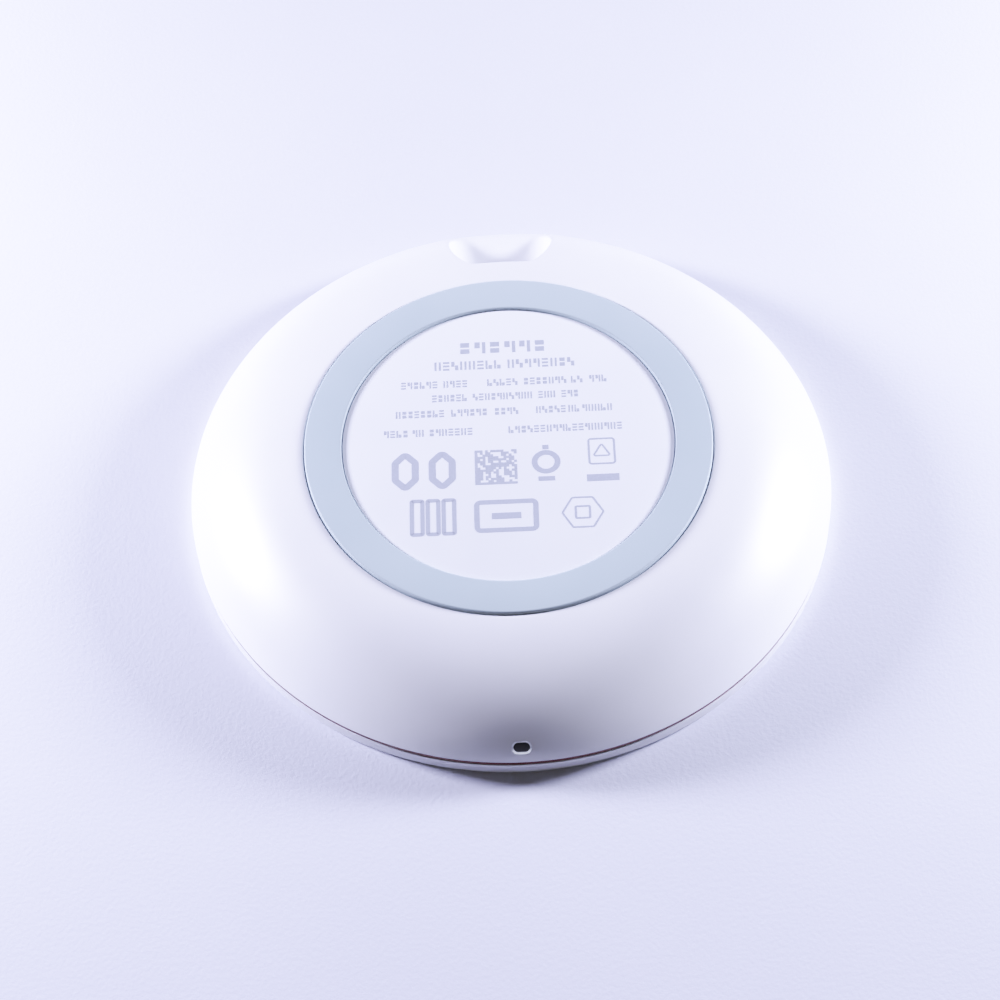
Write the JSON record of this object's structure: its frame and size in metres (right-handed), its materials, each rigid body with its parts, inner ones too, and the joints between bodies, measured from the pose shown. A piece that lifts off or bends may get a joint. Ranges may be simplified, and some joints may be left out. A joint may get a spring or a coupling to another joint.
{
  "type": "wireless charging pad",
  "caption": "Round phone charging pad, stored face down: domed underside with a soft foot ring, label disc, plug recess with socket, and status indicator.",
  "frame": {"origin": "centre of the charging face, on the coil's axis; the pad is stored face down, as it lies when its underside is up, and is turned over about X for use", "axes": "+Z out of the underside, along the coil's axis; +Y towards the USB-C socket; -Y towards the status indicator"},
  "size_m": [0.1, 0.1, 0.0148],
  "materials": {
    "shell_white": "satin",
    "pad_white": "soft matte",
    "accent_red": "satin",
    "foot_grey": "matte silicone",
    "label_white": "satin with grey print",
    "steel": "plated",
    "copper": "enamelled copper strand",
    "film_amber": "film",
    "ferrite_grey": "sintered",
    "aluminium": "satin",
    "board_green": "solder mask",
    "chip_black": "moulded",
    "ceramic": "sintered",
    "pad_blue": "soft gap filler",
    "clear": "clear, polished",
    "smoked": "smoked, polished"
  },
  "bodies": {
    "root": {"bottom_housing": "shell_white", "top_cover": "shell_white", "charging_pad": "pad_white", "accent_ring": "accent_red", "foot_ring": "foot_grey", "label_disc": "label_white", "case_screw_1": "steel", "case_screw_2": "steel", "case_screw_3": "steel", "case_screw_4": "steel", "transmit_coil": "copper", "coil_lead_start": "copper", "coil_lead_end": "copper", "adhesive_film": "film_amber", "ferrite_shield": "ferrite_grey", "shield_plate": "aluminium", "thermistor": "chip_black", "circuit_board": "board_green", "control_chip": "chip_black", "power_stage_left": "chip_black", "power_stage_right": "chip_black", "resonant_capacitor_1": "ceramic", "resonant_capacitor_2": "ceramic", "resonant_capacitor_3": "ceramic", "resonant_capacitor_4": "ceramic", "filter_inductor": "ferrite_grey", "input_capacitor": "aluminium", "crystal": "steel", "thermal_pad": "pad_blue", "board_screw_left": "steel", "board_screw_right": "steel", "usb_shell": "steel", "usb_tongue": "chip_black", "status_led": "clear", "light_guide": "clear", "light_sleeve": "chip_black", "indicator_lens": "smoked"}
  },
  "joints": []
}
